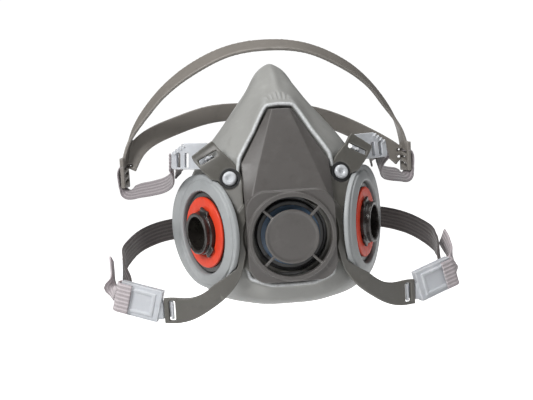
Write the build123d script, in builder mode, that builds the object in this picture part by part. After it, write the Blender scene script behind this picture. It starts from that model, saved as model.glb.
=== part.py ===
"""A reusable half-mask respirator with two bayonet filter ports, an exhalation valve and a head harness.

Millimetres. +X is to the right as seen from the front, +Z is up, and the mask faces -Y. The origin is in
the middle of the face opening. Depths are measured back from the front of the exhalation grille.
"""
import os

from build123d import *

os.makedirs("parts", exist_ok=True)

# ---------------------------------------------------------------- driving dimensions
REACH = 60.0  # from the grille's front back to the middle of the face opening
GAP = 0.3  # air between separate pieces that don't bear on each other
SHEET = 2.4  # thickness of the harness yoke
RUBBER = 3.0  # wall of the soft facepiece
WEBBING = 14.0
WEBBING_THICK = 1.3
SIDES = {"left": -1, "right": 1}

PORT_RIM = (52.8, 26.9, 1.7)  # x, depth, z of the middle of a bayonet's front rim
PORT_OUT = Vector(0.883, -0.469, 0.0).normalized()  # right-hand port axis
BARREL_R = 12.0
BARREL_LENGTH = 3.2  # plain front stretch that a filter's collar slides on
BASE_R = 12.6
BORE_R = 9.8
GASKET_R = 20.8
PLATE_R = 23.6
PLATE_FACE = -6.9  # heights from the bayonet's rim
PLATE_BACK = -14.0
COLLAR_HALF_HEIGHT = 33.5
COLLAR_HALF_WIDTH = 38.0  # along the cheek
COLLAR_SET_BACK = 5.0  # the oval's middle from the port's axis, towards the wearer
COLLAR_FACE = -6.6
COLLAR_BACK = -9.4

GRILLE_R = 22.3
DISC_R = 15.2
COVER_HALF = 25.0
COVER_WALL = 2.0

STUD_AT = (31.8, 17.6, 33.0)
STUD_LIFT = 0.2  # head's underside above that point
STUD_RECESS_R = 6.2
TAB_SLOT_AT = (42.9, 23.2, 45.2)
TAB_ACROSS = Vector(0.88, 0.12, -0.45).normalized()
TAB_OUT = Vector(0.236, -0.949, 0.208).normalized()
ARM_SLOT_AT = (68.8, 19.8, -40.5)


# ---------------------------------------------------------------- helpers
def at(x, depth, z):
    """A point given by its depth behind the front of the grille."""
    return Vector(x, depth - REACH, z)


def flip(vector, side):
    """The vector as it is on the left (-1) or right (1) of the mask."""
    x, y, z = Vector(vector)
    return Vector(side * x, y, z)


def front_plane(depth):
    """An upright plane across the mask, seen from the front: local x is X, local y is Z, normal to -Y."""
    return Plane(origin=at(0, depth, 0), x_dir=(1, 0, 0), z_dir=(0, -1, 0))


def port_plane(side, height):
    """A plane square to a port's axis, height outward from its rim."""
    outward = flip(PORT_OUT, side)
    return Plane(origin=flip(at(*PORT_RIM), side) + outward * height, x_dir=(0, 0, 1), z_dir=outward)


def port_ring(side, low, high, outer, inner=0.0, mode=Mode.ADD):
    """A disc or ring on a port's axis, between two heights along it."""
    with BuildSketch(port_plane(side, low)) as ring:
        Circle(outer)
        if inner:
            Circle(inner, mode=Mode.SUBTRACT)
    extrude(ring.sketch, amount=high - low, mode=mode)


def collar_oval(side, low, high, grow=0.0, mode=Mode.ADD):
    """The upright oval of a port's collar, between two heights along the port's axis."""
    with BuildSketch(port_plane(side, low)) as oval:
        with Locations((0, -side * COLLAR_SET_BACK)):
            Ellipse(COLLAR_HALF_HEIGHT + grow, COLLAR_HALF_WIDTH + grow)
    extrude(oval.sketch, amount=high - low, mode=mode)


def front_ring(depth, length, outer, inner=0.0, mode=Mode.ADD):
    """A disc or ring on the grille's axis, its front at the given depth."""
    with BuildSketch(front_plane(depth + length)) as ring:
        Circle(outer)
        if inner:
            Circle(inner, mode=Mode.SUBTRACT)
    extrude(ring.sketch, amount=length, mode=mode)


def ribbon(side, stations):
    """A flat band lofted through stations of centre, direction across, width and thickness."""
    centres = [flip(station[0], side) for station in stations]
    last = len(stations) - 1
    sections = []
    for index, (_, across, width, thickness) in enumerate(stations):
        along = (centres[min(index + 1, last)] - centres[max(index - 1, 0)]).normalized()
        across = flip(Vector(across), side)
        across = across - along * across.dot(along)
        with BuildSketch(Plane(origin=centres[index], x_dir=across, z_dir=along)) as section:
            Rectangle(width, thickness)
        sections.append(section.sketch)
    loft(sections)


def strap(side, points, width=WEBBING, thickness=WEBBING_THICK):
    """Webbing along points of centre and direction across."""
    ribbon(side, [(centre, across, width, thickness) for centre, across in points])


def block(side, centre, across, normal, size, mode=Mode.ADD):
    """A rectangular block: size along across, square to it, and along the normal."""
    plane = Plane(origin=flip(centre, side), x_dir=flip(across, side), z_dir=flip(normal, side))
    with BuildSketch(plane.offset(-size[2] / 2)) as outline:
        Rectangle(size[0], size[1])
    extrude(outline.sketch, amount=size[2], mode=mode)


def save(part, name):
    """Label the finished piece and write it to its own file."""
    part.part.label = name
    export_step(part.part, f"parts/{name}.step")


# ---------------------------------------------------------------- sloping nose panel, shared by several pieces
# z, half width and depth of the flat panel, half width and depth of the outer edge, depth of the back
PANEL_SLICES = [
    (71.0, 5.0, 26.2, 6.6, 29.0, 31.0),
    (41.0, 15.2, 12.2, COVER_HALF, 16.5, 19.0),
    (23.0, 21.2, 3.2, COVER_HALF, 7.5, 12.0),
    (16.0, 22.5, 2.2, COVER_HALF, 5.0, 7.0),
]


def nose_panel(inset, deeper, mode):
    """The solid under the sloping panel, its walls drawn in by inset and its back moved deeper."""
    slices = []
    for z, panel, panel_depth, edge_half, edge_depth, back in PANEL_SLICES:
        front = (panel - inset * 0.7, panel_depth + inset - REACH)
        edge = (edge_half - inset, edge_depth + inset - REACH)
        heel = (edge_half - inset, back + deeper - REACH)
        outline = [front, edge, heel]
        outline += [(-x, y) for x, y in reversed(outline)]
        level = z - inset if z == PANEL_SLICES[0][0] else z
        with BuildSketch(Plane.XY.offset(level)) as cut:
            with BuildLine():
                Polyline(*outline, close=True)
            make_face()
        slices.append(cut.sketch)
    loft(slices, ruled=True, mode=mode)


# ---------------------------------------------------------------- harness yoke
YOKE_WING = [  # x, depth, z; across; width, from the upper tab down to the lower arm's end
    ((46.3, 25.4, 50.5), TAB_ACROSS, 14.6),
    (TAB_SLOT_AT, TAB_ACROSS, 15.6),
    ((36.8, 20.6, 38.5), TAB_ACROSS, 16.0),
    ((33.0, 19.0, 32.0), (0.97, 0.2, -0.15), 16.5),
    ((31.2, 13.2, 21.5), (1.0, 0.25, 0.0), 12.5),
    ((29.2, 8.6, 11.0), (1.0, 0.2, 0.0), 8.5),
    ((28.6, 7.2, 1.0), (1.0, 0.15, 0.05), 8.0),
    ((30.2, 7.2, -9.0), (1.0, 0.15, 0.3), 8.6),
    ((34.3, 8.2, -20.5), (0.78, 0.1, 0.6), 9.6),
    ((40.8, 9.6, -28.7), (0.62, 0.2, 0.75), 10.0),
    ((49.0, 12.6, -35.2), (0.3, 0.1, 0.95), 10.2),
    ((59.0, 17.0, -39.8), (0.0, 0.0, 1.0), 13.0),
    (ARM_SLOT_AT, (0.0, 0.0, 1.0), 15.0),
    ((73.4, 20.9, -40.5), (0.0, 0.0, 1.0), 14.6),
]
with BuildPart() as harness_yoke:
    for side in SIDES.values():
        ribbon(side, [(at(*place), Vector(across), width, SHEET) for place, across, width in YOKE_WING])
    with BuildSketch(front_plane(10.0)):
        RectangleRounded(60, 42, 12)
    extrude(amount=SHEET)
    front_ring(0, 30, 20.6, mode=Mode.SUBTRACT)
    nose_panel(-GAP, GAP, Mode.SUBTRACT)
    front_ring(7.0 - SHEET, SHEET + GAP, 24.5 + SHEET, mode=Mode.SUBTRACT)
    for side in SIDES.values():
        collar_oval(side, COLLAR_BACK - 0.5, 10, 0.6, Mode.SUBTRACT)
        port_ring(side, -30, COLLAR_BACK, 28.9, mode=Mode.SUBTRACT)
        block(side, at(*TAB_SLOT_AT), TAB_ACROSS, TAB_OUT, (12, 3.2, 12), Mode.SUBTRACT)
        block(side, at(*ARM_SLOT_AT), Vector(0, 0, 1), Vector(0.25, -0.97, 0), (11.5, 3.6, 12), Mode.SUBTRACT)
        stud_plane = Plane(origin=flip(at(*STUD_AT), side), z_dir=flip(TAB_OUT, side))
        with BuildSketch(stud_plane.offset(-8)):
            Circle(2.3)
        extrude(amount=12, mode=Mode.SUBTRACT)
        with BuildSketch(stud_plane.offset(STUD_LIFT - GAP)):
            Circle(STUD_RECESS_R)
        extrude(amount=6, mode=Mode.SUBTRACT)
save(harness_yoke, "harness_yoke")

# ---------------------------------------------------------------- soft facepiece
# depth, top z, half width of the ridge, widest half width, bottom z
FACE_SECTIONS = [
    (13.0, 27.0, 12.0, 24.0, -27.0),
    (21.0, 44.0, 12.0, 32.0, -41.0),
    (32.0, 71.0, 7.0, 40.5, -45.0),
    (44.0, 82.0, 7.0, 48.5, -46.5),
    (60.0, 93.0, 7.5, 56.5, -45.0),
    (78.0, 100.0, 8.0, 62.0, -39.0),
    (92.0, 101.0, 9.0, 63.0, -34.0),
]


def face_section(depth, top, ridge, half, bottom, inset):
    """A closed outline across the facepiece: a narrow nose ridge, sloping cheeks and a round chin."""
    top, bottom, half = top - inset, bottom + inset, half - inset
    ridge = max(ridge - inset * 0.6, 2.5)
    middle = bottom * 0.25
    right = [
        (ridge, top - 1.5),
        (ridge + (half - ridge) * 0.55, top + (middle - top) * 0.5),
        (half * 0.98, middle + (top - middle) * 0.17),
        (half * 0.93, bottom * 0.55),
        (half * 0.55, bottom * 0.95),
    ]
    left = [(-x, z) for x, z in reversed(right)]
    with BuildSketch(front_plane(depth)) as outline:
        with BuildLine():
            Spline((0, top), *right, (0, bottom), *left, periodic=True)
        make_face()
    return outline.sketch


with BuildPart() as face_shell:
    loft([face_section(*section, inset=0.0) for section in FACE_SECTIONS])
    inner = []
    for index, section in enumerate(FACE_SECTIONS):
        inner.append(face_section(section[0] + (RUBBER if index == 0 else 1.0), *section[1:], inset=RUBBER))
    loft(inner, mode=Mode.SUBTRACT)
    with BuildSketch(Plane.YZ):  # the back edge: nose tip, cheeks, then under the chin
        with BuildLine():
            edge = Spline((9, 100), (12, 86), (20, 60), (27, 22), (23, -12), (6, -36), (-4, -50))
            Polyline(edge @ 1, (-4, -80), (80, -80), (80, 130), (9, 130), edge @ 0)
        make_face()
    extrude(amount=100, both=True, mode=Mode.SUBTRACT)
    front_ring(0, 30, 21.0, mode=Mode.SUBTRACT)
    for side in SIDES.values():
        collar_oval(side, COLLAR_BACK - GAP, 20, 1.0, Mode.SUBTRACT)
        port_ring(side, -14.0, 20, 28.4, mode=Mode.SUBTRACT)
        port_ring(side, -17.0, -14.0, 24.6)
        port_ring(side, -40.0, 0.0, 16.4, mode=Mode.SUBTRACT)
    add(harness_yoke.part, mode=Mode.SUBTRACT)
save(face_shell, "face_shell")

# ---------------------------------------------------------------- filter ports
COLLAR_BAND = [  # radius, height from the rim: the raised band round the recess that holds a bayonet's plate
    (24.2, PLATE_BACK),
    (24.2, -5.2),
    (24.8, -4.4),
    (30.2, -5.7),
    (30.6, -6.2),
    (30.6, COLLAR_BACK),
    (28.0, COLLAR_BACK - 0.5),
    (28.0, PLATE_BACK),
]
for name, side in SIDES.items():
    rim = port_plane(side, 0)
    port_axis = Axis(rim.origin, rim.z_dir)
    profile_plane = Plane(origin=rim.origin, x_dir=(0, 0, 1), z_dir=Vector(0, 0, 1).cross(rim.z_dir))

    with BuildPart() as port_collar:
        collar_oval(side, COLLAR_BACK, COLLAR_FACE)
        fillet(port_collar.edges().sort_by(port_axis)[-1], 1.2)
        port_ring(side, COLLAR_BACK - 2, COLLAR_FACE + 2, 25.0, mode=Mode.SUBTRACT)
        with BuildSketch(profile_plane):
            with BuildLine():
                Polyline(*COLLAR_BAND, close=True)
            make_face()
        revolve(axis=port_axis)
    save(port_collar, f"port_collar_{name}")

    with BuildPart() as bayonet:
        port_ring(side, -BARREL_LENGTH, 0, BARREL_R, BORE_R)
        port_ring(side, PLATE_BACK, -BARREL_LENGTH, BASE_R, BORE_R)
        port_ring(side, PLATE_FACE - 2, PLATE_FACE, PLATE_R, BORE_R)
        port_ring(side, PLATE_BACK, PLATE_FACE - 2, PLATE_R, PLATE_R - 2)
        port_ring(side, -16, PLATE_BACK, 16, BORE_R + 2.0)
        with BuildSketch(port_plane(side, -BARREL_LENGTH - 1.6)):  # three lugs that lock a filter's collar
            with PolarLocations(BASE_R + 0.8, 3, start_angle=20):
                Rectangle(3.0, 8.0)
            Circle(BASE_R - 0.5, mode=Mode.SUBTRACT)
        extrude(amount=1.6)
        with BuildSketch(port_plane(side, -12.5)):  # the three-armed spider across the bore
            Circle(2.2)
            with PolarLocations(5.5, 3):
                Rectangle(9.4, 1.4)
        extrude(amount=1.8)
        port_ring(side, -17.2, -12.5, 1.1)
        port_ring(side, -18.2, -17.2, 2.2)
    save(bayonet, f"bayonet_{name}")

    with BuildPart() as port_gasket:
        port_ring(side, PLATE_FACE, PLATE_FACE + 1.8, GASKET_R, BASE_R + 0.2)
    save(port_gasket, f"port_gasket_{name}")

    with BuildPart() as inhalation_valve:
        port_ring(side, -15.1, -14.3, 11.3, 1.4)
    save(inhalation_valve, f"inhalation_valve_{name}")

# ---------------------------------------------------------------- exhalation valve and seat
with BuildPart() as exhalation_seat:
    front_ring(9.8, 10.2, 19.4, 15.6)
    front_ring(18.0, 2.0, 20.6, 15.6)
    front_ring(12.5, 2.0, 4.0, 1.8)
    with BuildSketch(front_plane(14.5)):
        with PolarLocations(9.9, 4, start_angle=45):
            Rectangle(12.2, 1.6)
    extrude(amount=2.0)
save(exhalation_seat, "exhalation_seat")

with BuildPart() as exhalation_valve:
    front_ring(8.3, 1.2, 17.0)
    front_ring(9.5, 8.0, 1.4)
    front_ring(17.0, 2.0, 2.4)
save(exhalation_valve, "exhalation_valve")


# ---------------------------------------------------------------- front cover
with BuildPart() as front_cover:
    with BuildSketch(front_plane(7.0)):
        RectangleRounded(2 * COVER_HALF, 2 * COVER_HALF + 1.0, 11)
    extrude(amount=5.0)
    nose_panel(0.0, 0.0, Mode.ADD)
    front_ring(0.0, 4.0, GRILLE_R + 2.4)
    nose_panel(COVER_WALL, 5.0, Mode.SUBTRACT)
    with BuildSketch(front_plane(14.0)):
        RectangleRounded(2 * (COVER_HALF - COVER_WALL), 2 * COVER_HALF - 3.0, 9)
    extrude(amount=14.0 - 4.2, mode=Mode.SUBTRACT)
    front_ring(-1.0, 12, GRILLE_R, mode=Mode.SUBTRACT)
    front_ring(0.6, 2.4, DISC_R)
    front_ring(0.0, 1.0, DISC_R - 1.4, mode=Mode.SUBTRACT)
    with BuildSketch(front_plane(3.2)):
        with PolarLocations(19.2, 4, start_angle=45):
            Rectangle(9.0, 1.6)
    extrude(amount=2.0)
save(front_cover, "front_cover")

# ---------------------------------------------------------------- harness hardware
PIVOT_R = 0.95
PIVOT_HALF = 1.2  # half the length of the bar in the tab's slot
TONGUE = (5.0, 1.2, 9.0)
FRAME_OUTLINE = [(-11, -6.7), (10, -6.7), (11, -5.7), (11, 2.5), (3, 8.6), (-10, 8.6), (-11, 7.6)]
FRAME_THICK = 3.4
FRAME_SLOT = (2.2, 8.4, 8.0)
for name, side in SIDES.items():
    stud_plane = Plane(origin=flip(at(*STUD_AT), side), z_dir=flip(TAB_OUT, side)).offset(STUD_LIFT)
    with BuildPart() as yoke_stud:
        with BuildSketch(stud_plane):
            Circle(4.15)
        extrude(amount=2.2)
        with BuildSketch(stud_plane.offset(1.2)):
            Circle(1.6)
        extrude(amount=2.0, mode=Mode.SUBTRACT)
        with BuildSketch(stud_plane):
            Circle(1.9)
        extrude(amount=-4.2)
    save(yoke_stud, f"yoke_stud_{name}")

    # upper buckle: a round pivot bar in the yoke's tab slot, a tongue through it and a two-slot frame behind
    slot = at(*TAB_SLOT_AT)
    frame_across = Vector(0.93, 0.34, 0.03).normalized()
    frame_out = Vector(0.34, -0.93, 0.1).normalized()
    frame_up = frame_out.cross(frame_across)
    frame_at = slot + Vector(10.3, 11.5, 0.0)
    with BuildPart() as upper_buckle:
        with BuildSketch(Plane(origin=flip(slot, side), z_dir=(1, 0, 0))):
            Circle(PIVOT_R)
        extrude(amount=PIVOT_HALF, both=True)
        block(side, slot - TAB_OUT * TONGUE[2] / 2, TAB_ACROSS, TAB_OUT, TONGUE)
        frame_plane = Plane(origin=flip(frame_at, side), x_dir=flip(frame_across, side), z_dir=flip(frame_out, side))
        with BuildSketch(frame_plane.offset(-FRAME_THICK / 2)) as outline:
            with BuildLine():
                Polyline(*[(x, side * y) for x, y in FRAME_OUTLINE], close=True)
            make_face()
        extrude(outline.sketch, amount=FRAME_THICK)
        for rib in range(4):  # thumb ribs along the sloping outer edge
            rib_at = frame_at + frame_across * (9.2 - 1.9 * rib) + frame_up * (2.6 + 1.45 * rib) + frame_out * 1.9
            block(side, rib_at, frame_across + frame_up, frame_out, (2.6, 0.9, 1.2))
        for shift in (1.5, 6.5):
            slot_at = frame_at + frame_across * shift - frame_up * 1.4
            block(side, slot_at, frame_across, frame_out, FRAME_SLOT, Mode.SUBTRACT)
    save(upper_buckle, f"upper_buckle_{name}")

# ---------------------------------------------------------------- head webbing and crown cradle
UPPER_STRAP = [
    ((65.0, 40.4, 43.0), (0.0, 0.2, 1.0)),
    ((63.8, 47.0, 39.0), (0.0, 0.5, 0.9)),
    ((64.0, 57.0, 33.0), (0.0, 0.8, 0.6)),
    ((68.5, 70.5, 28.0), (0.0, 0.8, 0.6)),
    ((76.5, 83.5, 25.0), (0.0, 0.8, 0.6)),
    ((86.0, 95.5, 22.8), (0.0, 0.8, 0.6)),
    ((92.5, 103.0, 21.2), (0.0, 0.85, 0.5)),
]
UPPER_TAIL = [
    ((58.0, 40.6, 43.6), (0.0, 0.3, 1.0)),
    ((58.8, 50.5, 42.5), (0.0, 0.5, 1.0)),
    ((59.2, 61.0, 40.0), (0.0, 0.7, 0.8)),
    ((61.5, 71.0, 36.5), (0.0, 0.8, 0.6)),
]
for name, side in SIDES.items():
    with BuildPart() as upper_strap:
        strap(side, [(at(*place), across) for place, across in UPPER_STRAP], width=13.0)
    save(upper_strap, f"upper_strap_{name}")
    with BuildPart() as upper_strap_tail:
        strap(side, [(at(*place), across) for place, across in UPPER_TAIL], width=12.0)
    save(upper_strap_tail, f"upper_strap_tail_{name}")

CRADLE_THICK = 2.2
UPPER_BAND = [  # x, depth, z; across; width, from the crown down to the right-hand end
    ((0.0, 77.0, 111.2), (0.0, -0.88, -0.47), 14.0),
    ((24.0, 79.0, 108.6), (0.0, -0.88, -0.47), 14.0),
    ((40.0, 82.2, 102.6), (0.0, -0.85, -0.52), 14.0),
    ((55.5, 87.0, 94.0), (0.0, -0.85, -0.53), 14.0),
    ((68.5, 94.5, 84.0), (0.0, -0.85, -0.53), 13.5),
    ((78.5, 102.5, 73.5), (-0.2, -0.85, -0.4), 11.0),
    ((87.0, 107.5, 62.5), (-0.2, -0.95, -0.2), 9.5),
    ((93.0, 109.7, 50.0), (0.1, -0.99, 0.0), 9.0),
    ((96.3, 110.5, 38.0), (0.25, -0.97, 0.0), 9.0),
]
LOWER_BAND = [  # x, depth, z, from the left-hand end round the back of the head to the right
    (-93.8, 112.5, 37.0),
    (-89.0, 113.0, 46.0),
    (-80.5, 113.5, 54.5),
    (-68.0, 117.0, 60.5),
    (-48.0, 121.5, 67.0),
    (-24.0, 125.0, 70.5),
    (0.0, 126.0, 70.5),
    (24.0, 125.0, 68.0),
    (45.0, 122.0, 62.0),
    (61.0, 119.0, 54.5),
    (75.0, 116.0, 46.5),
    (85.5, 113.0, 39.5),
    (93.3, 112.5, 32.5),
]
CRADLE_TAB = (95.8, 110.5, 34.0)
with BuildPart() as crown_cradle:
    left_half = []
    for (x, depth, z), (across_x, *across), width in reversed(UPPER_BAND[1:]):
        left_half.append((at(-x, depth, z), Vector(-across_x, *across), width, CRADLE_THICK))
    right_half = [(at(*place), Vector(across), width, CRADLE_THICK) for place, across, width in UPPER_BAND]
    ribbon(1, left_half + right_half)
    ribbon(1, [(at(*place), Vector(0, 0.15, 1), 12.0, CRADLE_THICK) for place in LOWER_BAND])
    for side in SIDES.values():
        tab_across = Vector(-0.25, 0.97, 0)
        tab_normal = Vector(0.97, 0.25, 0)
        block(side, at(*CRADLE_TAB), tab_across, tab_normal, (12.0, 20.0, CRADLE_THICK + 0.6))
        for step in (-5.5, -1.0, 3.5):
            slot_at = at(*CRADLE_TAB) + Vector(0, 0, step)
            block(side, slot_at, tab_across + Vector(0, 0, 0.35), tab_normal, (8.0, 1.8, 10), Mode.SUBTRACT)
        block(side, at(*CRADLE_TAB) + tab_normal * 1.6, tab_across, tab_normal, (3.0, 4.0, 2.0))
save(crown_cradle, "crown_cradle")

# ---------------------------------------------------------------- neck webbing, its buckles and clasp
HOOK_R = 5.3  # inside of the hook, clear of the arm's end all the way round
HOOK_THICK = 2.6
LOWER_BUCKLE = (25.0, 18.6, 4.5)
LOWER_STRAP = [
    ((93.0, 33.4, -29.5), (0.1, 0.3, 1.0)),
    ((95.6, 41.0, -23.5), (0.1, 0.6, 0.8)),
    ((96.8, 50.0, -18.6), (0.0, 0.6, 0.8)),
    ((96.2, 60.0, -14.8), (0.0, 0.3, 1.0)),
    ((93.2, 70.0, -11.8), (0.0, 0.1, 1.0)),
    ((86.0, 85.0, -8.0), (0.0, 0.0, 1.0)),
    ((76.0, 95.5, -5.6), (0.0, 0.0, 1.0)),
    ((62.0, 106.5, -4.8), (0.0, 0.0, 1.0)),
    ((45.0, 115.0, -4.5), (0.0, 0.0, 1.0)),
    ((30.0, 120.0, -4.5), (0.0, 0.0, 1.0)),
    ((22.6, 121.8, -4.5), (0.0, 0.0, 1.0)),
]
LOWER_TAILS = {
    "left": [
        ((101.2, 29.0, -31.0), (0.0, 0.3, 0.95)),
        ((102.2, 34.5, -25.0), (0.0, 0.8, 0.6)),
        ((102.6, 38.5, -18.0), (0.0, 0.9, 0.4)),
        ((102.9, 41.5, -12.0), (0.0, 0.9, 0.4)),
    ],
    "right": [
        ((101.2, 29.0, -31.0), (0.0, 0.3, 0.95)),
        ((102.4, 36.0, -26.0), (0.0, 0.7, 0.7)),
        ((102.6, 45.0, -20.0), (0.0, 0.6, 0.8)),
        ((102.0, 54.0, -14.5), (0.0, 0.6, 0.8)),
    ],
}
CLASP = (11.4, 122.0, -4.5)
for name, side in SIDES.items():
    pivot = at(*ARM_SLOT_AT)
    reach = Vector(0.915, 0.27, 0.26).normalized()
    face_out = reach.cross(Vector(0, 0, 1)).normalized()
    body_at = pivot + reach * (HOOK_R + HOOK_THICK - 0.9 + LOWER_BUCKLE[0] / 2) + Vector(0, 0, 0.6)
    with BuildPart() as lower_buckle:
        level = Plane(origin=flip(pivot, side), x_dir=(side, 0, 0), z_dir=(0, 0, side))
        with BuildSketch(level):  # pivot bar in the arm's slot, a spoke behind it and a hook round the arm's end
            Circle(HOOK_R + HOOK_THICK)
            Circle(HOOK_R, mode=Mode.SUBTRACT)
            with BuildLine():  # the hook's quarter turn, from behind the slot to the buckle's body
                Polyline((0, 0), (20, 2), (20, 20), (-1, 20), close=True)
            make_face(mode=Mode.INTERSECT)
            Circle(PIVOT_R)
            with Locations((0, HOOK_R / 2 + 0.3)):
                Rectangle(1.2, HOOK_R + 0.6)
        extrude(amount=5, both=True)
        block(side, body_at, reach, face_out, LOWER_BUCKLE)
        block(side, body_at + reach * 0.5 + face_out * 2.4, reach, face_out, (19.0, 13.6, 1.2))
        block(side, body_at + reach * 0.5 + face_out * 3.0, reach, face_out, (15.6, 10.4, 1.2), Mode.SUBTRACT)
        block(side, body_at + reach * 9.4, reach, face_out, (2.4, 14.6, 12), Mode.SUBTRACT)
    save(lower_buckle, f"lower_buckle_{name}")

    with BuildPart() as lower_strap:
        strap(side, [(at(*place), across) for place, across in LOWER_STRAP])
    save(lower_strap, f"lower_strap_{name}")
    with BuildPart() as lower_strap_tail:
        strap(side, [(at(*place), across) for place, across in LOWER_TAILS[name]], width=12.0)
    save(lower_strap_tail, f"lower_strap_tail_{name}")

    with BuildPart() as neck_clasp:
        block(side, at(*CLASP), (1, 0, 0), (0, -1, 0), (21.2, 18.0, 3.4))
        block(side, at(*CLASP) + Vector(6.5, 0, 0), (1, 0, 0), (0, -1, 0), (3.0, 14.4, 10), Mode.SUBTRACT)
    save(neck_clasp, f"neck_clasp_{name}")
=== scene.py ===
"""Looks for the half-mask respirator: soft facepiece, webbing, moulded hardware, camera and light.

Lengths are millimetres in the model's own frame and become metres in build(). Depths are measured back
from the front of the exhalation grille, as in the part's source.
"""
import math

import bmesh
import bpy
import numpy as np
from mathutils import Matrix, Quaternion, Vector


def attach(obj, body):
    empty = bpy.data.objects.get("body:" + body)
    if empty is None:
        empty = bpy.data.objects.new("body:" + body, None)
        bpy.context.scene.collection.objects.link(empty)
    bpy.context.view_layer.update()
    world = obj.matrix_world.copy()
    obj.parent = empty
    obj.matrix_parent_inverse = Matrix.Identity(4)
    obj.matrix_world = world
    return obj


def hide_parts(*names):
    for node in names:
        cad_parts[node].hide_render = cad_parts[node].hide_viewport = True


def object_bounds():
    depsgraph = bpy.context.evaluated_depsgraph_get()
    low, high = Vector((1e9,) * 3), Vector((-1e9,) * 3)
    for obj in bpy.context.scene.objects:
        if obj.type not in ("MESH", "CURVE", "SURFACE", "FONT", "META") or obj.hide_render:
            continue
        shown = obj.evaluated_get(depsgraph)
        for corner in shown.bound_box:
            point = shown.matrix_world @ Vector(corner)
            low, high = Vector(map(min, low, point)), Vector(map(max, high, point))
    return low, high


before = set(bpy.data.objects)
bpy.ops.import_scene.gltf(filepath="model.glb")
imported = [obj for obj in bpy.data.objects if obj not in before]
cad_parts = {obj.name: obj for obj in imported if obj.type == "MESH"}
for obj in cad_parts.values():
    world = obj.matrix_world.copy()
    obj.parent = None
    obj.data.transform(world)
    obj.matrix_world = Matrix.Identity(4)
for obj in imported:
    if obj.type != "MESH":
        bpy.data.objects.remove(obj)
CAD_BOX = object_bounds()

MM = 0.001
GRILLE_REACH = 60.0  # how far the front of the grille stands before the origin
SIDES = {"left": -1, "right": 1}
UP = np.array((0.0, 0.0, 1.0))


# ---------------------------------------------------------------- points and curves
def at(x, depth, z):
    """A point given by its depth behind the front of the grille."""
    return np.array((x, depth - GRILLE_REACH, z), float)


def unit(vector):
    vector = np.array(vector, float)
    return vector / np.linalg.norm(vector)


def smoothstep(low, high, value):
    t = np.clip((value - low) / (high - low), 0.0, 1.0)
    return t * t * (3 - 2 * t)


def curve_through(points, steps, closed=False, ease=1.0):
    """A curve through the points, with steps points in each span (one number or one per span).

    ease 1 is smooth; a lower value straightens the spans and tightens the corners.
    """
    points = np.array(points, float)
    count = len(points)
    spans = count if closed else count - 1
    steps = [steps] * spans if isinstance(steps, int) else list(steps)
    flat = points.reshape(count, -1)
    chord = [np.linalg.norm(flat[(i + 1) % count] - flat[i]) + 1e-9 for i in range(spans)]
    slope = []
    for i in range(count):
        before, after = (i - 1) % count, (i + 1) % count
        if not closed and i == 0:
            slope.append((flat[1] - flat[0]) / chord[0])
        elif not closed and i == count - 1:
            slope.append((flat[i] - flat[i - 1]) / chord[i - 1])
        else:
            h0, h1 = chord[before], chord[i]
            slope.append(((flat[i] - flat[before]) / h0 * h1 + (flat[after] - flat[i]) / h1 * h0) / (h0 + h1))
    slope = [ease * tangent for tangent in slope]
    out = []
    for i in range(spans):
        j = (i + 1) % count
        for k in range(steps[i]):
            t = k / steps[i]
            h00, h10 = 2 * t**3 - 3 * t**2 + 1, t**3 - 2 * t**2 + t
            h01, h11 = -2 * t**3 + 3 * t**2, t**3 - t**2
            out.append(h00 * flat[i] + h10 * chord[i] * slope[i] + h01 * flat[j] + h11 * chord[i] * slope[j])
    if not closed:
        out.append(flat[-1])
    return np.array(out).reshape(-1, *points.shape[1:])


def rounded(profile, radius, steps=4, closed=True):
    """A polygon's corners taken off with small arcs."""
    points = [np.array(p, float) for p in profile]
    out = []
    for i, point in enumerate(points):
        if not closed and i in (0, len(points) - 1):
            out.append(point)
            continue
        before, after = points[i - 1], points[(i + 1) % len(points)]
        reach = min(radius, np.linalg.norm(before - point) * 0.45, np.linalg.norm(after - point) * 0.45)
        a, b = point + unit(before - point) * reach, point + unit(after - point) * reach
        for k in range(steps + 1):
            t = k / steps
            out.append((1 - t) ** 2 * a + 2 * t * (1 - t) * point + t * t * b)
    return out


# ---------------------------------------------------------------- meshes
def build(name, points, faces, uvs=None):
    """A smooth-shaded object from points in millimetres."""
    mesh = bpy.data.meshes.new(name)
    mesh.from_pydata([tuple(p * MM) for p in points], [], faces)
    if uvs is not None:
        layer = mesh.uv_layers.new(name="UVMap")
        for loop in mesh.loops:
            layer.data[loop.index].uv = uvs[loop.vertex_index]
    return link(name, mesh)


def link(name, mesh):
    piece = bpy.data.objects.new(name, mesh)
    bpy.context.scene.collection.objects.link(piece)
    bm = bmesh.new()
    bm.from_mesh(mesh)
    bmesh.ops.remove_doubles(bm, verts=bm.verts, dist=1e-7)
    bmesh.ops.recalc_face_normals(bm, faces=bm.faces)
    bm.to_mesh(mesh)
    bm.free()
    mesh.polygons.foreach_set("use_smooth", [True] * len(mesh.polygons))
    return piece


def grid(name, rows, ring=True, loop=False):
    """Quads between rows of points; ring closes each row, loop joins the last row to the first."""
    rows = [np.array(row, float) for row in rows]
    width = len(rows[0])
    points = np.concatenate(rows)
    faces = []
    for i in range(len(rows) if loop else len(rows) - 1):
        a, b = i * width, (i + 1) % len(rows) * width
        for j in range(width if ring else width - 1):
            k = (j + 1) % width
            faces.append((a + j, a + k, b + k, b + j))
    return build(name, points, faces)


def applied(piece):
    """Bakes the piece's modifiers into its mesh."""
    graph = bpy.context.evaluated_depsgraph_get()
    mesh = bpy.data.meshes.new_from_object(piece.evaluated_get(graph))
    piece.modifiers.clear()
    piece.data = mesh
    mesh.polygons.foreach_set("use_smooth", [True] * len(mesh.polygons))
    return piece


def modify(piece, kind, **settings):
    modifier = piece.modifiers.new(kind.title(), kind)
    for key, value in settings.items():
        setattr(modifier, key, value)


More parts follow.
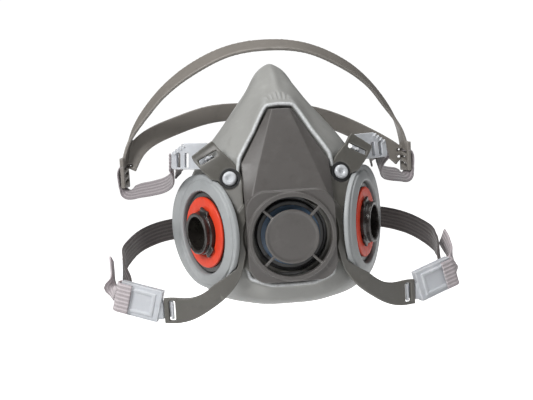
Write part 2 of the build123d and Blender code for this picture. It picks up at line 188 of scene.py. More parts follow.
def cut(piece, cutter):
    """Cuts one mesh with another, which is then removed."""
    modify(piece, "BOOLEAN", object=cutter, operation="DIFFERENCE", solver="EXACT")
    applied(piece)
    bpy.data.objects.remove(cutter)


def mirrored(piece, name):
    """The same piece on the other side of the mask."""
    mesh = piece.data.copy()
    co = np.zeros(len(mesh.vertices) * 3)
    mesh.vertices.foreach_get("co", co)
    co[0::3] *= -1
    mesh.vertices.foreach_set("co", co)
    mesh.flip_normals()
    mesh.update()
    copy = bpy.data.objects.new(name, mesh)
    bpy.context.scene.collection.objects.link(copy)
    return copy


def moulded(node, name, voxel, smoothing):
    """A moulding made from a CAD node's shape, with its edges rounded as a real moulding's are."""
    piece = link(name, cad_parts[node].data.copy())
    piece.data.materials.clear()
    modify(piece, "REMESH", mode="VOXEL", voxel_size=voxel * MM, use_smooth_shade=True)
    modify(piece, "SMOOTH", factor=0.5, iterations=smoothing)
    modify(piece, "DECIMATE", ratio=0.5)
    return applied(piece)


def dress(piece, body, slot, material, *nodes):
    """Material, body and the CAD nodes that the piece stands for."""
    piece.data.materials.clear()
    piece.data.materials.append(material)
    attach(piece, body)
    if nodes:
        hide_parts(*nodes)


def dress_pair(right, stem, body, slot, material, node=None):
    """The right-hand piece and its mirror image, on bodies that may end in the side's name."""
    pieces = {"right": right, "left": mirrored(right, f"{stem}_left")}
    for side, piece in pieces.items():
        nodes = [f"{node}_{side}"] if node else []
        dress(piece, body.format(side=side), slot, material, *nodes)


class Axis:
    """A straight axis with two directions square to it, for turned pieces."""

    def __init__(self, origin, out, up):
        self.origin = np.array(origin, float)
        self.out = unit(out)
        self.up = unit(np.array(up, float) - self.out * np.dot(up, self.out))
        self.side = np.cross(self.up, self.out)

    def point(self, radius, angle, height):
        across = self.up * math.cos(angle) + self.side * math.sin(angle)
        return self.origin + self.out * height + across * radius


def turned(name, axis, profile, segments=128, closed=True):
    """A turned piece from a profile of radius and height."""
    angles = [2 * math.pi * k / segments for k in range(segments)]
    rows = [[axis.point(max(r, 1e-5), angle, h) for angle in angles] for r, h in profile]
    return grid(name, rows, loop=closed)


# ---------------------------------------------------------------- materials
def linear(r, g, b):
    """Scene-linear colour from 0-255 display values."""
    shares = [c / 255 for c in (r, g, b)]
    return tuple(((c + 0.055) / 1.055) ** 2.4 if c > 0.04045 else c / 12.92 for c in shares) + (1.0,)


class Finish:
    """A procedural material, built up node by node on object coordinates in metres."""

    def __init__(self, name, colour, roughness, uv=False):
        self.material = bpy.data.materials.new(name)
        self.material.use_nodes = True
        self.tree = self.material.node_tree
        self.shader = self.tree.nodes["Principled BSDF"]
        self.coordinates = self.node("ShaderNodeTexCoord").outputs["UV" if uv else "Object"]
        self.colour = linear(*colour)
        self.shader.inputs["Base Color"].default_value = self.colour
        self.shader.inputs["Roughness"].default_value = roughness
        self.roughness = roughness
        self.tint = None
        self.heights = []

    def node(self, kind, **settings):
        node = self.tree.nodes.new(kind)
        for key, value in settings.items():
            setattr(node, key, value)
        return node

    def wire(self, source, target):
        self.tree.links.new(source, target)

    def noise(self, period, detail=3.0):
        """Noise with features of about the period, in millimetres."""
        texture = self.node("ShaderNodeTexNoise")
        texture.inputs["Scale"].default_value = 1.0 / (period * MM)
        texture.inputs["Detail"].default_value = detail
        texture.inputs["Roughness"].default_value = 0.55
        self.wire(self.coordinates, texture.inputs["Vector"])
        return texture.outputs["Fac"]

    def remap(self, value, low, high, to_low, to_high):
        node = self.node("ShaderNodeMapRange")
        for socket, number in zip(("From Min", "From Max", "To Min", "To Max"), (low, high, to_low, to_high)):
            node.inputs[socket].default_value = number
        self.wire(value, node.inputs["Value"])
        return node.outputs["Result"]

    def math(self, operation, a, b=None):
        node = self.node("ShaderNodeMath", operation=operation)
        for socket, value in zip(node.inputs, (a, b)):
            if value is None:
                continue
            if isinstance(value, (int, float)):
                socket.default_value = value
            else:
                self.wire(value, socket)
        return node.outputs["Value"]

    def paint(self, mask, colour, amount=1.0):
        """Mixes a colour in where the mask is high."""
        mix = self.node("ShaderNodeMix", data_type="RGBA")
        self.wire(self.math("MULTIPLY", mask, amount), mix.inputs["Factor"])
        if self.tint is None:
            mix.inputs["A"].default_value = self.colour
        else:
            self.wire(self.tint, mix.inputs["A"])
        mix.inputs["B"].default_value = linear(*colour)
        self.tint = mix.outputs["Result"]
        return self

    def mottle(self, period, darker, lighter):
        """Slow patches of darker and lighter colour."""
        cloud = self.noise(period, detail=4.0)
        self.paint(self.remap(cloud, 0.42, 0.25, 0.0, 1.0), darker, 0.8)
        self.paint(self.remap(cloud, 0.56, 0.75, 0.0, 1.0), lighter, 0.8)
        return self

    def edges(self, colour, amount=0.5, low=0.505, high=0.56):
        """Paler where the surface turns sharply outward: partly wear, as on handled edges, and partly a
        painted highlight along raised rims.
        """
        pointiness = self.node("ShaderNodeNewGeometry").outputs["Pointiness"]
        broken = self.remap(self.noise(1.4), 0.3, 0.6, 0.5, 1.0)
        wear_and_highlight = self.math("MULTIPLY", self.remap(pointiness, low, high, 0.0, 1.0), broken)
        return self.paint(wear_and_highlight, colour, amount)

    def grain(self, period, depth):
        """A fine moulded texture, its depth in millimetres."""
        self.heights.append(self.math("MULTIPLY", self.noise(period, detail=2.0), depth * MM))
        return self

    def uneven_gloss(self, period, spread):
        gloss = self.noise(period, detail=5.0)
        self.wire(
            self.remap(gloss, 0.3, 0.7, self.roughness - spread, self.roughness + spread),
            self.shader.inputs["Roughness"],
        )
        return self

    def set(self, **sockets):
        for name, value in sockets.items():
            self.shader.inputs[name.replace("_", " ")].default_value = value
        return self

    def done(self):
        if self.tint is not None:
            self.wire(self.tint, self.shader.inputs["Base Color"])
        if self.heights:
            total = self.heights[0]
            for height in self.heights[1:]:
                total = self.math("ADD", total, height)
            bump = self.node("ShaderNodeBump")
            bump.inputs["Distance"].default_value = 1.0
            bump.inputs["Strength"].default_value = 1.0
            self.wire(total, bump.inputs["Height"])
            self.wire(bump.outputs["Normal"], self.shader.inputs["Normal"])
        return self.material


def rubber(name, colour, darker, lighter, roughness=0.46, edge=None):
    finish = Finish(name, colour, roughness)
    finish.mottle(9.0, darker, lighter)
    # an edge colour paints a highlight along raised edges, such as the facepiece's lip
    if edge:
        finish.edges(edge, 0.85)
    finish.grain(0.5, 0.012).grain(6.0, 0.05).uneven_gloss(4.0, 0.07)
    return finish.done()


def plastic(name, colour, darker, lighter, edge, roughness):
    finish = Finish(name, colour, roughness)
    finish.mottle(7.0, darker, lighter).edges(edge)
    finish.grain(0.35, 0.014).grain(5.0, 0.03).uneven_gloss(3.0, 0.06)
    return finish.done()


def clear_plastic():
    finish = Finish("clear_plastic", (212, 215, 220), 0.42)
    finish.mottle(6.0, (192, 196, 202), (226, 228, 231)).edges((250, 251, 252), 0.7)
    finish.grain(0.4, 0.006).grain(3.0, 0.03).uneven_gloss(2.5, 0.06)
    finish.set(Transmission_Weight=0.3, IOR=1.46, Specular_IOR_Level=0.5)
    return finish.done()


RIB_PITCH = 2.3
WEAVE_PITCH = 0.8


def webbing(name, dark, light, fleck):
    """Ribbed elastic webbing: lengthwise ribs, a fine cross weave and loose fluff."""
    finish = Finish(name, dark, 0.85, uv=True)
    split = finish.node("ShaderNodeSeparateXYZ")
    finish.wire(finish.coordinates, split.inputs["Vector"])
    across, along = split.outputs["X"], split.outputs["Y"]
    rib_turns, weave_turns = (2 * math.pi / (pitch * MM) for pitch in (RIB_PITCH, WEAVE_PITCH))
    rib = finish.math("SINE", finish.math("MULTIPLY", across, rib_turns))
    pick = finish.math("SINE", finish.math("MULTIPLY", along, weave_turns))
    diagonal = finish.math("ADD", across, along)
    twill = finish.math("SINE", finish.math("MULTIPLY", diagonal, weave_turns))
    threads = finish.math("ADD", finish.math("MULTIPLY", pick, 0.5), finish.math("MULTIPLY", twill, 0.5))
    finish.paint(finish.remap(rib, -0.2, 0.9, 0.0, 1.0), light, 0.7)
    finish.paint(finish.remap(threads, 0.1, 1.0, 0.0, 1.0), light, 0.35)
    finish.paint(finish.remap(finish.noise(0.7, 4.0), 0.55, 0.75, 0.0, 1.0), fleck, 0.5)
    finish.heights.append(finish.math("MULTIPLY", threads, 0.05 * MM))
    finish.heights.append(finish.math("MULTIPLY", rib, 0.06 * MM))
    finish.set(Sheen_Weight=0.35, Sheen_Roughness=0.5)
    return finish.done()


# the facepiece's pale edge colour is a painted highlight along the raised lip round the cover
FACE_RUBBER = rubber("facepiece_rubber", (152, 152, 149), (140, 140, 137), (162, 162, 159),
                     edge=(216, 219, 221))
COLLAR_RUBBER = rubber("collar_rubber", (158, 161, 162), (147, 150, 151), (168, 171, 172))
YOKE_PLASTIC = plastic("yoke_plastic", (84, 82, 77), (74, 72, 68), (94, 92, 87), (128, 126, 120), 0.4)
COVER_PLASTIC = plastic("cover_plastic", (84, 81, 79), (76, 73, 71), (92, 89, 87), (120, 117, 114), 0.42)
BAYONET_PLASTIC = plastic("bayonet_plastic", (38, 35, 33), (30, 28, 26), (48, 45, 42), (92, 88, 84), 0.3)
GASKET_RUBBER = rubber("gasket_rubber", (226, 62, 28), (205, 50, 20), (238, 78, 40), 0.5)
SEAT_PLASTIC = plastic("seat_plastic", (30, 30, 31), (24, 24, 25), (38, 38, 39), (66, 66, 68), 0.32)
VALVE_RUBBER = rubber("valve_rubber", (74, 98, 124), (64, 88, 114), (86, 110, 136), 0.4)
FLAP_RUBBER = rubber("flap_rubber", (214, 208, 186), (202, 196, 172), (224, 218, 198), 0.42)
STUD_PLASTIC = plastic("stud_plastic", (190, 193, 197), (176, 180, 184), (204, 207, 210), (228, 230, 232),
                       0.2)
CRADLE_PLASTIC = plastic("cradle_plastic", (124, 119, 113), (113, 108, 103), (134, 129, 123), (168, 164, 158),
                         0.45)
CLASP_PLASTIC = plastic("clasp_plastic", (40, 39, 39), (32, 31, 31), (50, 49, 49), (92, 90, 88), 0.3)
CLEAR_PLASTIC = clear_plastic()
DARK_WEBBING = webbing("dark_webbing", (58, 51, 50), (96, 87, 85), (128, 118, 116))
PALE_WEBBING = webbing("pale_webbing", (124, 117, 120), (170, 162, 165), (196, 188, 190))
LIGHT_WEBBING = webbing("light_webbing", (170, 161, 164), (212, 204, 207), (230, 224, 226))


# ---------------------------------------------------------------- ports
PORT_RIM = at(52.8, 26.9, 1.7)
PORT = Axis(PORT_RIM, (0.883, -0.469, 0.0), UP)
CHEEK_BACK = unit((0.469, 0.883, 0.0))
COLLAR_SET_BACK = 5.0
COLLAR_HALF_HEIGHT = 33.5
COLLAR_HALF_WIDTH = 38.0
BAND_R = 30.6
BORE_R = 16.3
PLATE_CLEAR_R = 29.2  # inside this the cheek clears the port's plate, outside it only the collar
PLATE_CLEAR_HEIGHT = -14.8
COLLAR_CLEAR_HEIGHT = -10.0


def collar_ring(height, share=0.0, radius=BAND_R, segments=160):
    """A ring on the port's axis, from round (share 0) to the oval of the collar's flange (share 1)."""
    ring = []
    for k in range(segments):
        angle = 2 * math.pi * k / segments
        up, back = math.cos(angle), math.sin(angle)
        round_part = UP * up * radius + CHEEK_BACK * back * radius
        oval = UP * up * COLLAR_HALF_HEIGHT + CHEEK_BACK * (back * COLLAR_HALF_WIDTH + COLLAR_SET_BACK)
        ring.append(PORT_RIM + PORT.out * height + round_part * (1 - share) + oval * share)
    return ring


def make_collar():
    band = [(24.2, -14.0), (24.2, -5.7), (24.35, -4.95), (24.9, -4.5), (25.7, -4.5), (28.0, -5.1),
            (29.8, -5.55), (30.35, -5.75), (30.6, -6.2)]
    flange = [(0.04, -6.5), (0.15, -6.6), (0.5, -6.65), (0.8, -6.75), (0.92, -7.0), (0.98, -7.45),
              (1.0, -8.1), (1.0, -8.8), (0.97, -9.25), (0.8, -9.4), (0.1, -9.4)]
    rows = [collar_ring(height, radius=radius) for radius, height in band]
    rows += [collar_ring(height, share) for share, height in flange]
    rows += [collar_ring(-9.8, radius=28.2), collar_ring(-14.0, radius=28.0)]
    return grid("port_collar_right", rows, loop=True)


def make_gasket():
    corners = [(12.9, -6.9), (12.9, -5.6), (14.2, -5.15), (18.0, -5.1), (20.2, -5.2), (20.8, -5.7),
               (20.8, -6.9)]
    return turned("port_gasket_right", PORT, rounded(corners, 0.5))


dress_pair(make_collar(), "port_collar", "facepiece", "collar_rubber", COLLAR_RUBBER, "port_collar")
dress_pair(make_gasket(), "port_gasket", "facepiece", "gasket_rubber", GASKET_RUBBER, "port_gasket")
dress_pair(moulded("bayonet_right", "bayonet_right", 0.4, 2), "bayonet", "facepiece", "bayonet_plastic",
           BAYONET_PLASTIC, "bayonet")
flap_profile = rounded(
    [(1.5, -15.05), (1.5, -14.45), (5.0, -14.4), (11.0, -14.5), (11.3, -14.9), (10.9, -15.05)], 0.15)
dress_pair(turned("inhalation_valve_right", PORT, flap_profile), "inhalation_valve",
           "inhalation_valve_{side}", "flap_rubber", FLAP_RUBBER, "inhalation_valve")


# ---------------------------------------------------------------- soft facepiece
# Each ring is given from the top of the nose down the right side to the chin, as x, depth and height.
RING_STEPS = [16, 10, 8, 8, 8, 8, 8, 8, 8]
LIP = [(0, 29.6, 72.4), (6.9, 29.6, 71.8), (15.9, 23.3, 57.6), (24.7, 17.6, 43.5), (26.4, 18.6, 32),
       (25.9, 14.5, 20), (25.9, 11, -8), (22.4, 10.7, -23), (12, 8.6, -26.6), (0, 8.6, -27)]
BROW = [(0, 43, 83.0), (5.6, 43, 81), (19.5, 38, 66), (34, 30, 48), (38.5, 24, 34), (40, 20, 18),
        (38, 18, -10), (33, 16, -31), (18, 16, -37.5), (0, 16.5, -39)]
CHEEK = [(0, 57, 92.5), (5.4, 57, 90), (22.5, 52, 71), (41, 52, 49), (50, 52, 34), (55.5, 52, 16),
         (56, 50, -10), (47, 42, -34.5), (25, 36, -42), (0, 35, -43.5)]
EDGE = [(0, 69.5, 98.5), (4.8, 69, 96.4), (16.6, 67, 80.5), (32, 70, 60), (45, 77, 43), (56, 84, 20),
        (59.5, 84, -5), (54, 76, -25), (31, 58, -41), (0, 52, -44)]


SKIN_THICK = 2.2
VALVE_OPENING_R = 22.6
NOSE_GROOVE_PITCH = 2.3
NOSE_GROOVE_DEPTH = 0.95
NOSE_BOTTOM = 40  # height below which there are no grooves


def face_ring(stations, ease=1.0):
    half = [at(*station) for station in stations]
    other = [np.array((-p[0], p[1], p[2])) for p in half[-2:0:-1]]
    return curve_through(half + other, RING_STEPS + RING_STEPS[::-1], closed=True, ease=ease)


def outward(ring):
    """For each point of a ring, the direction away from its middle, square to the ring and to Y."""
    along = np.roll(ring, -1, axis=0) - np.roll(ring, 1, axis=0)
    normal = np.stack([-along[:, 2], np.zeros(len(ring)), along[:, 0]], axis=1)
    normal /= np.linalg.norm(normal, axis=1, keepdims=True) + 1e-9
    middle = ring.mean(axis=0)
    sign = np.sign(((ring - middle) * normal).sum(axis=1))
    return normal * sign[:, None]


def moved(ring, out, back):
    """A ring moved outward and back by so many millimetres."""
    return ring + outward(ring) * out + np.array((0, back, 0))


def carve(points):
    """Draws the cheeks in behind the ports' collars and plates."""
    for side in SIDES.values():
        rim = PORT_RIM * (side, 1, 1)
        out = PORT.out * (side, 1, 1)
        back = CHEEK_BACK * (side, 1, 1)
        relative = points - rim
        height = relative @ out
        across = relative @ back - COLLAR_SET_BACK
        up = relative @ UP
        oval = np.sqrt((across / (COLLAR_HALF_WIDTH + 1.0)) ** 2 + (up / (COLLAR_HALF_HEIGHT + 1.0)) ** 2)
        radius = np.sqrt((across + COLLAR_SET_BACK) ** 2 + up**2)
        limit = np.where(radius < PLATE_CLEAR_R, PLATE_CLEAR_HEIGHT, COLLAR_CLEAR_HEIGHT)
        excess = np.where(oval < 1.0, np.maximum(height - limit, 0.0), 0.0)
        points = points - out[None, :] * excess[:, None]
    return points


def nose_grooves(skin):
    """How far each point of the skin's rows is set back by the grooves that fan out up the nose."""
    row = np.arange(len(skin))[:, None]
    fan = 1.0 + 0.03 * row
    across = skin[:, :, 0] / fan
    groove = np.maximum(np.cos(across * (2 * math.pi / NOSE_GROOVE_PITCH)), 0.0)
    along = smoothstep(0.5, 3.0, row) * (1 - smoothstep(9.0, 13.0, row))
    fade = along * (1 - smoothstep(5.4, 6.6, np.abs(across)))
    upper = (skin[:, :, 2] > NOSE_BOTTOM).astype(float)
    return NOSE_GROOVE_DEPTH * groove * fade * upper


def make_facepiece():
    lip = face_ring(LIP, ease=0.35)
    brow, cheek, edge = (face_ring(stations) for stations in (BROW, CHEEK, EDGE))
    seat = []
    for point in lip:
        angle = math.atan2(point[2], point[0])
        seat.append(at(VALVE_OPENING_R * math.cos(angle), 15.5, VALVE_OPENING_R * math.sin(angle)))
    seat = np.array(seat)
    rows = [seat, (seat + moved(lip, -1.6, 5.0)) / 2, moved(lip, -1.4, 4.0), moved(lip, -0.2, 1.6)]
    rows += [moved(lip, 0.0, 0.2), moved(lip, 0.5, -0.6), moved(lip, 1.2, -0.9), moved(lip, 2.0, -0.5),
             moved(lip, 2.5, 0.5), moved(lip, 2.9, 1.6)]
    start = moved(lip, 3.4, 2.4)
    body = curve_through([start, brow, cheek, edge], [16, 12, 12])
    body[:, :, 1] += nose_grooves(body)
    rows += list(body)
    rows += [moved(edge, 0.5, 0.9), moved(edge, 0.6, 1.9), moved(edge, 0.2, 2.8), moved(edge, -1.0, 3.3),
             moved(edge, -3.5, 3.2), moved(edge, -7.0, 2.4), moved(edge, -10.5, 1.2)]
    width = len(rows[0])
    points = carve(np.concatenate(rows))
    rows = [points[i * width:(i + 1) * width] for i in range(len(rows))]
    piece = grid("facepiece_skin", rows)
    modify(piece, "SOLIDIFY", thickness=SKIN_THICK * MM, offset=-1.0, use_even_offset=False)
    applied(piece)
    for side in SIDES.values():
        bore = Axis(PORT_RIM * (side, 1, 1), PORT.out * (side, 1, 1), UP)
        cutter = turned("cutter", bore, [(1e-5, -40), (BORE_R, -40), (BORE_R, 2), (1e-5, 2)], closed=False)
        cut(piece, cutter)
    return piece


dress(make_facepiece(), "facepiece", "facepiece_rubber", FACE_RUBBER, "face_shell")


# ---------------------------------------------------------------- mouldings on the front
dress(moulded("harness_yoke", "yoke_frame", 0.45, 4), "facepiece", "yoke_plastic", YOKE_PLASTIC,
      "harness_yoke")
dress(moulded("front_cover", "grille_cover", 0.4, 3), "front_cover", "cover_plastic", COVER_PLASTIC,
      "front_cover")
dress(moulded("exhalation_seat", "valve_seat", 0.45, 2), "facepiece", "seat_plastic", SEAT_PLASTIC,
      "exhalation_seat")

GRILLE = Axis(at(0, 0, 0), (0, -1, 0), UP)
skirt_profile = rounded([(19.2, -13.4), (21.4, -13.2), (23.6, -13.4), (23.6, -15.4), (19.2, -15.4)], 0.3)
dress(turned("valve_seat_skirt", GRILLE, skirt_profile), "facepiece", "seat_plastic", SEAT_PLASTIC)
valve_profile = rounded(
    [(0.0, -8.4), (6.0, -8.3), (13.0, -8.6), (16.9, -9.2), (16.8, -9.5), (12.0, -9.3), (1.5, -9.4),
     (1.4, -16.9), (2.4, -17.2), (2.3, -18.9), (0.0, -19.0)], 0.3, closed=False)
dress(turned("exhalation_flap", GRILLE, valve_profile, closed=False), "exhalation_valve", "valve_rubber",
      VALVE_RUBBER, "exhalation_valve")

TAB_OUT = unit((0.236, -0.949, 0.208))
STUD = Axis(at(31.8, 17.6, 33.0) + TAB_OUT * 0.2, TAB_OUT, UP)
# painted shade: a black ring under each stud stands in for the shadowy gap in the yoke's hole round it
shade_ring_profile = rounded([(2.0, -0.3), (2.0, -0.05), (4.4, -0.1), (5.8, 0.0), (6.1, -0.3)], 0.1)
dress_pair(turned("stud_shade_ring_right", STUD, shade_ring_profile, 64), "stud_shade_ring", "facepiece", "seat_plastic",
           SEAT_PLASTIC)
stud_profile = rounded(
    [(0.0, 1.1), (0.9, 1.15), (1.5, 1.7), (2.2, 2.25), (3.3, 2.15), (4.0, 1.4), (4.1, 0.3), (3.6, 0.05),
     (1.9, 0.0), (1.8, -4.0), (0.0, -4.1)], 0.35, closed=False)
dress_pair(turned("yoke_stud_right", STUD, stud_profile, 64, closed=False), "yoke_stud", "facepiece",
           "stud_plastic", STUD_PLASTIC, "yoke_stud")


# ---------------------------------------------------------------- head harness
dress(moulded("crown_cradle", "crown_bands", 0.55, 5), "head_harness", "cradle_plastic", CRADLE_PLASTIC,
      "crown_cradle")
dress_pair(moulded("upper_buckle_right", "upper_buckle_right", 0.3, 3), "upper_buckle", "head_harness",
           "clear_plastic", CLEAR_PLASTIC, "upper_buckle")
dress_pair(moulded("lower_buckle_right", "lower_buckle_right", 0.32, 3), "lower_buckle", "neck_strap_{side}",
           "clear_plastic", CLEAR_PLASTIC, "lower_buckle")
dress_pair(moulded("neck_clasp_right", "neck_clasp_right", 0.35, 4), "neck_clasp", "neck_strap_{side}",
           "clasp_plastic", CLASP_PLASTIC, "neck_clasp")


STRAP_THICK = 1.3
RIDGE = 0.12
TAIL_WIDTH = 12.0


def strap(name, stations, width, ribs=5, step=10):
    """Ribbed webbing along stations of centre and direction across, with its weave in millimetres of UV."""
    centres = curve_through([station[0] for station in stations], step)
    acrosses = curve_through([unit(station[1]) for station in stations], step)
    half = width / 2
    section = []
    columns = 10 * ribs
    for k in range(columns + 1):
        x = -half + width * k / columns
        edge = min(1.0, (half - abs(x)) / 0.5)
        round_edge = math.sqrt(max(0.0, 1 - (1 - edge) ** 2))
        ridge = RIDGE * (0.5 + 0.5 * math.cos(2 * math.pi * ribs * (x / width)))
        section.append((x, (STRAP_THICK / 2 + ridge - 0.1) * max(round_edge, 0.25)))
    section += [(x, -y) for x, y in reversed(section)]
    rows, uvs = [], []
    length = 0.0
    for i, centre in enumerate(centres):
        along = unit(centres[min(i + 1, len(centres) - 1)] - centres[max(i - 1, 0)])
        across = unit(acrosses[i] - along * np.dot(acrosses[i], along))
        normal = np.cross(along, across)
        if i:
            length += np.linalg.norm(centre - centres[i - 1])
        rows.append([centre + across * x + normal * y for x, y in section])
        uvs += [(x * MM, length * MM) for x, _ in section]
    count = len(section)
    faces = []
    for i in range(len(rows) - 1):
        here, ahead = i * count, (i + 1) * count
        for j in range(count):
            k = (j + 1) % count
            faces.append((here + j, here + k, ahead + k, ahead + j))
    last = (len(rows) - 1) * count
    faces.append(tuple(range(count - 1, -1, -1)))
    faces.append(tuple(range(last, last + count)))
    return build(name, np.concatenate([np.array(row) for row in rows]), faces, uvs)


def placed(stations):
    """Stations given by x, depth and height, and the direction across the strap."""
    return [(at(*place), across) for place, across in stations]


UPPER_STRAP = [
    ((65.0, 40.4, 43.0), (0.0, 0.2, 1.0)), ((63.8, 47.0, 39.0), (0.0, 0.5, 0.9)),
    ((64.0, 57.0, 33.0), (0.0, 0.8, 0.6)), ((68.5, 70.5, 28.0), (0.0, 0.8, 0.6)),
    ((76.5, 83.5, 25.0), (0.0, 0.8, 0.6)), ((86.0, 95.5, 22.8), (0.0, 0.8, 0.6)),
    ((91.5, 102.5, 21.4), (0.0, 0.85, 0.5)),
    # on under the cradle's tab, up its outer face and in through its top slot
    ((94.8, 107.4, 21.8), (-0.1, 0.95, 0.25)), ((97.9, 110.6, 25.0), (-0.25, 0.97, 0.0)),
    ((98.8, 111.2, 30.0), (-0.25, 0.97, 0.0)), ((98.6, 111.2, 35.0), (-0.25, 0.97, 0.0)),
    ((97.2, 110.8, 37.6), (-0.25, 0.97, 0.0)), ((95.2, 110.3, 37.9), (-0.25, 0.97, 0.0)),
]
UPPER_TAIL = [
    ((58.0, 40.6, 43.6), (0.0, 0.3, 1.0)), ((58.8, 50.5, 42.5), (0.0, 0.5, 1.0)),
    ((59.2, 61.0, 40.0), (0.0, 0.7, 0.8)), ((61.5, 71.0, 36.5), (0.0, 0.8, 0.6)),
]
LOWER_STRAP = [
    ((93.0, 33.4, -29.5), (0.1, 0.3, 1.0)), ((95.6, 41.0, -23.5), (0.1, 0.6, 0.8)),
    ((96.8, 50.0, -18.6), (0.0, 0.6, 0.8)), ((96.2, 60.0, -14.8), (0.0, 0.3, 1.0)),
    ((93.2, 70.0, -11.8), (0.0, 0.1, 1.0)), ((86.0, 85.0, -8.0), (0.0, 0.0, 1.0)),
    ((76.0, 95.5, -5.6), (0.0, 0.0, 1.0)), ((62.0, 106.5, -4.8), (0.0, 0.0, 1.0)),
    ((45.0, 115.0, -4.5), (0.0, 0.0, 1.0)), ((30.0, 120.0, -4.5), (0.0, 0.0, 1.0)),
    ((22.6, 121.8, -4.5), (0.0, 0.0, 1.0)),
]
LOWER_TAILS = {
    "left": [
        ((101.2, 29.0, -31.0), (0.0, 0.3, 0.95)), ((102.2, 34.5, -25.0), (0.0, 0.8, 0.6)),
        ((102.6, 38.5, -18.0), (0.0, 0.9, 0.4)), ((102.9, 41.5, -12.0), (0.0, 0.9, 0.4)),
    ],
    "right": [
        ((101.2, 29.0, -31.0), (0.0, 0.3, 0.95)), ((102.4, 36.0, -26.0), (0.0, 0.7, 0.7)),
        ((102.6, 45.0, -20.0), (0.0, 0.6, 0.8)), ((102.0, 54.0, -14.5), (0.0, 0.6, 0.8)),
    ],
}
dress_pair(strap("upper_strap_right", placed(UPPER_STRAP), 12.0), "upper_strap", "head_harness",
           "webbing", PALE_WEBBING, "upper_strap")
dress_pair(strap("upper_strap_tail_right", placed(UPPER_TAIL), TAIL_WIDTH), "upper_strap_tail",
           "head_harness", "webbing", DARK_WEBBING, "upper_strap_tail")
dress_pair(strap("lower_strap_right", placed(LOWER_STRAP), 14.0), "lower_strap", "neck_strap_{side}",
           "webbing", DARK_WEBBING, "lower_strap")
for side, stations in LOWER_TAILS.items():
    # the two tails hang differently; both are given on the right and the left one is turned over
    tail = strap(f"lower_strap_tail_{side}", placed(stations), TAIL_WIDTH)
    if side == "left":
        unturned = tail
        tail = mirrored(unturned, "turned_over")
        bpy.data.objects.remove(unturned)
        tail.name = "lower_strap_tail_left"
    dress(tail, f"neck_strap_{side}", "webbing", LIGHT_WEBBING, f"lower_strap_tail_{side}")

# webbing folded round the outer end of the lower buckle
REACH_OUT = unit((0.915, 0.27, 0.26))
BUCKLE_FACE = unit(np.cross(REACH_OUT, UP))
BUCKLE_MIDDLE = at(68.8, 19.8, -40.5) + REACH_OUT * 19.5 + UP * 0.6
BUCKLE_UP = np.cross(BUCKLE_FACE, REACH_OUT)
FOLD = [(5.4, 3.8), (9.0, 3.8), (12.6, 3.6), (14.2, 2.0), (14.6, 0.0), (14.0, -2.2), (12.0, -3.4),
        (9.4, -4.6)]
fold = [(BUCKLE_MIDDLE + REACH_OUT * out + BUCKLE_FACE * face, BUCKLE_UP) for out, face in FOLD]
dress_pair(strap("lower_fold_right", fold, 17.0, ribs=7, step=6), "lower_fold", "neck_strap_{side}",
           "webbing", LIGHT_WEBBING)


# ---------------------------------------------------------------- camera, light and floor
CAMERA_PLACE = (-60.34, -511.44, 69.59)
CAMERA_TARGET = (-9.37, -20.0, 17.21)
CAMERA_ROLL = -3.11  # degrees
CAMERA_LENS = 56.3
BACKDROP_STRENGTH = 1.05
AMBIENT_BELOW, AMBIENT_ABOVE = 0.78, 0.1
FLOOR_DROP = 0.06
FLOOR_HALF = 3.0


def aim(thing, target, roll=0.0):
    direction = Vector(target) - thing.location
    rotation = direction.to_track_quat("-Z", "Y").to_euler().to_quaternion()
    thing.rotation_mode = "QUATERNION"
    thing.rotation_quaternion = rotation @ Quaternion((0, 0, 1), roll)


camera_data = bpy.data.cameras.new("camera")
camera = bpy.data.objects.new("camera", camera_data)
bpy.context.scene.collection.objects.link(camera)
camera.location = Vector(CAMERA_PLACE) * MM
aim(camera, Vector(CAMERA_TARGET) * MM, roll=math.radians(CAMERA_ROLL))
camera_data.sensor_width = 36.0
camera_data.lens = CAMERA_LENS
camera_data.clip_start = 0.01
bpy.context.scene.camera = camera


def soft_light(name, place, target, size, power):
    data = bpy.data.lights.new(name, "AREA")
    data.shape = "DISK"
    data.size = size
    data.energy = power
    light = bpy.data.objects.new(name, data)
    bpy.context.scene.collection.objects.link(light)
    light.location = place
    aim(light, target)


soft_light("key_light", (-0.62, -0.55, 0.62), (0, -0.02, 0.02), 0.45, 8.6)
soft_light("top_light", (0.05, -0.1, 0.8), (0, 0, 0.02), 0.5, 3.0)
soft_light("low_fill", (-0.25, -0.6, -0.35), (0, -0.02, -0.01), 0.6, 1.0)
soft_light("right_fill", (0.7, -0.5, 0.25), (0, 0, 0.02), 0.5, 0.5)


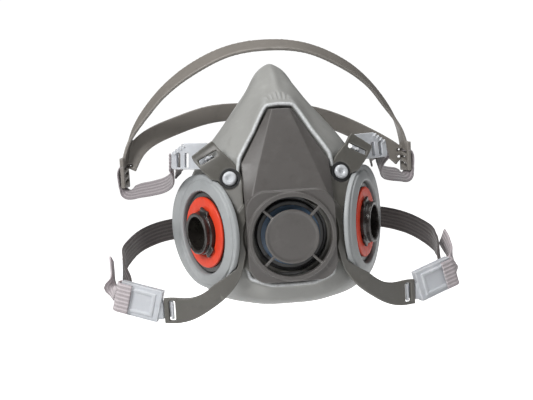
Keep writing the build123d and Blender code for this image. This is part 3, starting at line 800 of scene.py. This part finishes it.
def studio_world():
    """White to the camera; to the object, an even dim light that is stronger from below."""
    world = bpy.data.worlds.new("studio")
    world.use_nodes = True
    nodes, wire = world.node_tree.nodes, world.node_tree.links.new
    ambient = nodes["Background"]
    ambient.inputs["Color"].default_value = (1, 1, 1, 1)
    backdrop = nodes.new("ShaderNodeBackground")
    backdrop.inputs["Color"].default_value = (1, 1, 1, 1)
    backdrop.inputs["Strength"].default_value = BACKDROP_STRENGTH
    direction = nodes.new("ShaderNodeTexCoord")
    split = nodes.new("ShaderNodeSeparateXYZ")
    strength = nodes.new("ShaderNodeMapRange")
    ends = {"From Min": -0.7, "From Max": 0.2, "To Min": AMBIENT_BELOW, "To Max": AMBIENT_ABOVE}
    for socket, number in ends.items():
        strength.inputs[socket].default_value = number
    mix = nodes.new("ShaderNodeMixShader")
    path = nodes.new("ShaderNodeLightPath")
    wire(direction.outputs["Generated"], split.inputs["Vector"])
    wire(split.outputs["Z"], strength.inputs["Value"])
    wire(strength.outputs["Result"], ambient.inputs["Strength"])
    wire(path.outputs["Is Camera Ray"], mix.inputs["Fac"])
    wire(ambient.outputs["Background"], mix.inputs[1])
    wire(backdrop.outputs["Background"], mix.inputs[2])
    wire(mix.outputs["Shader"], nodes["World Output"].inputs["Surface"])
    return world


def pale_floor():
    """A glowing pale floor under everything, which throws no light back on the object."""
    z = CAD_BOX[0][2] - FLOOR_DROP
    mesh = bpy.data.meshes.new("floor")
    corners = [(-FLOOR_HALF, -FLOOR_HALF, z), (FLOOR_HALF, -FLOOR_HALF, z),
               (FLOOR_HALF, FLOOR_HALF, z), (-FLOOR_HALF, FLOOR_HALF, z)]
    mesh.from_pydata(corners, [], [(0, 1, 2, 3)])
    floor = bpy.data.objects.new("floor", mesh)
    bpy.context.scene.collection.objects.link(floor)
    finish = Finish("pale_floor", (250, 250, 250), 0.8)
    finish.set(Emission_Color=(1, 1, 1, 1), Emission_Strength=0.95)
    floor.data.materials.append(finish.done())
    floor.visible_diffuse = False
    return floor


bpy.context.scene.world = studio_world()
bpy.context.scene.view_settings.view_transform = "Standard"
floor = pale_floor()
